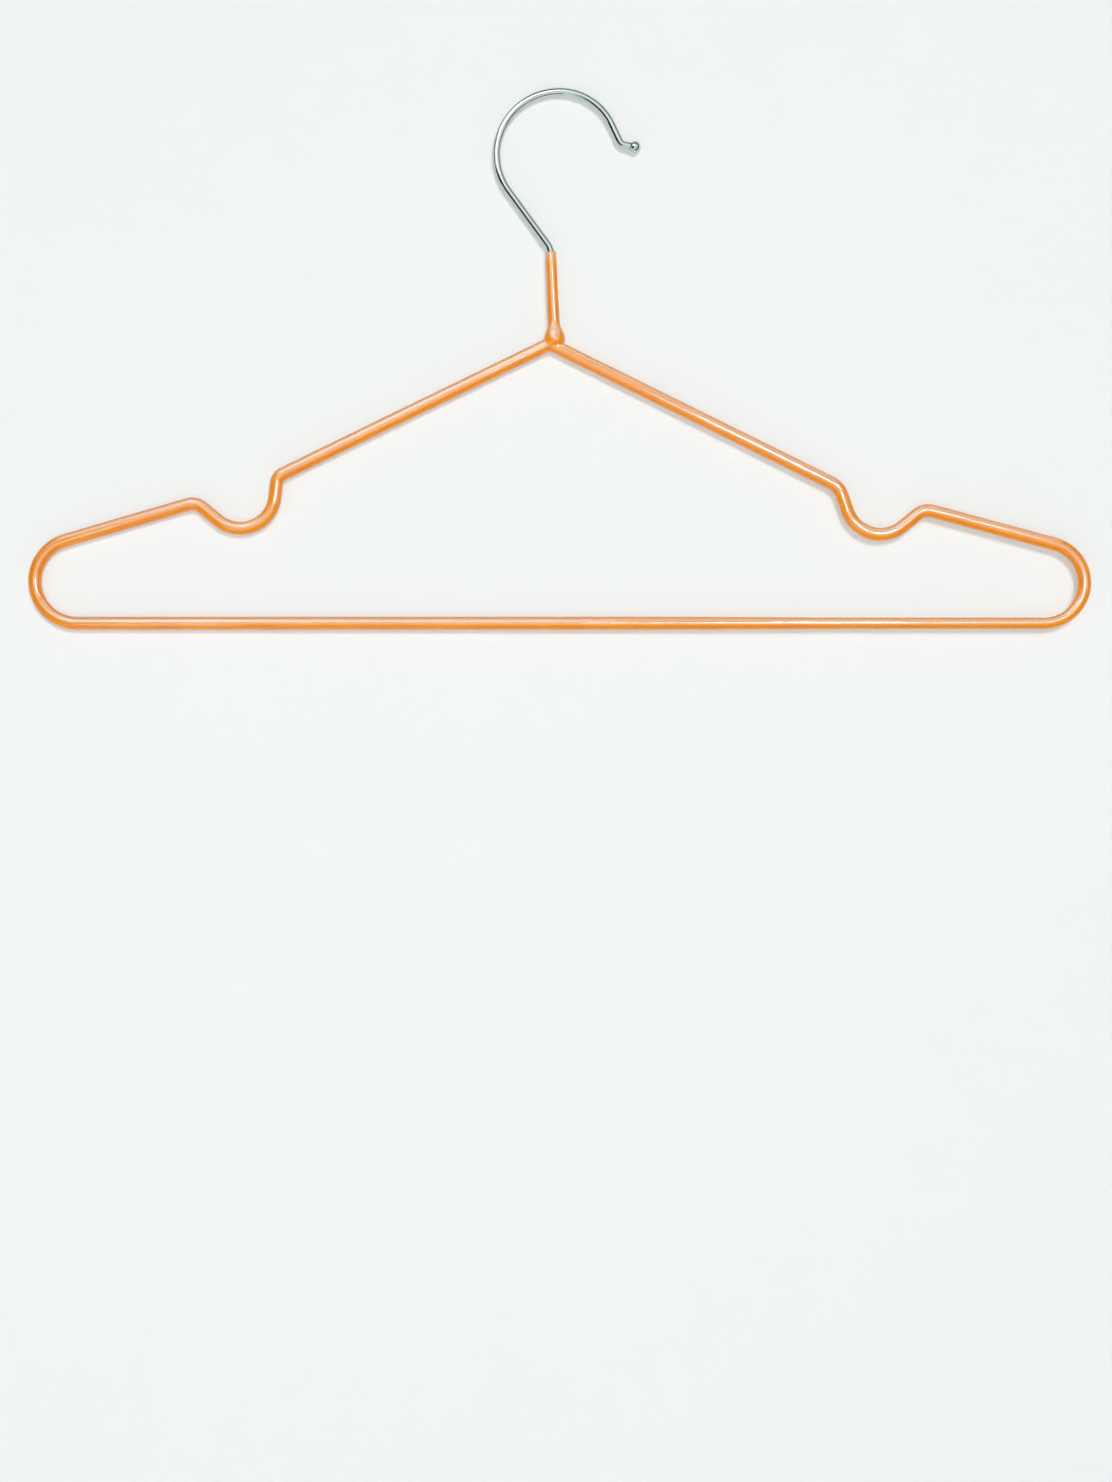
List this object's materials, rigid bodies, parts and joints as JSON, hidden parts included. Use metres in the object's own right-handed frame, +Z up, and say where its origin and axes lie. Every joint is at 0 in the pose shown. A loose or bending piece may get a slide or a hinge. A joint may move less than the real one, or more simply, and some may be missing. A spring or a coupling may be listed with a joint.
{
  "type": "trouser hanger",
  "caption": "Soft-coated wire hanger with a bright ball-tipped hook, round-ended frame, strap notches and a long straight bar for trousers.",
  "frame": {"origin": "inside of the hook's crown, where the hanger rests on a rail, in the middle of the wire's thickness", "axes": "+Z up, +X to the right across the front along the bar, +Y from the front to the back through the thickness"},
  "size_m": [0.4194, 0.0082, 0.2139],
  "materials": {
    "orange_coat": "glossy dipped soft plastic",
    "bare_steel": "drawn, unplated",
    "weld_steel": "as welded",
    "bright_plate": "bright plated and polished"
  },
  "bodies": {
    "root": {"coat": "orange_coat", "frame_wire": "bare_steel", "neck_weld": "weld_steel", "hook_wire": "bright_plate", "hook_ball": "bright_plate"}
  },
  "joints": []
}
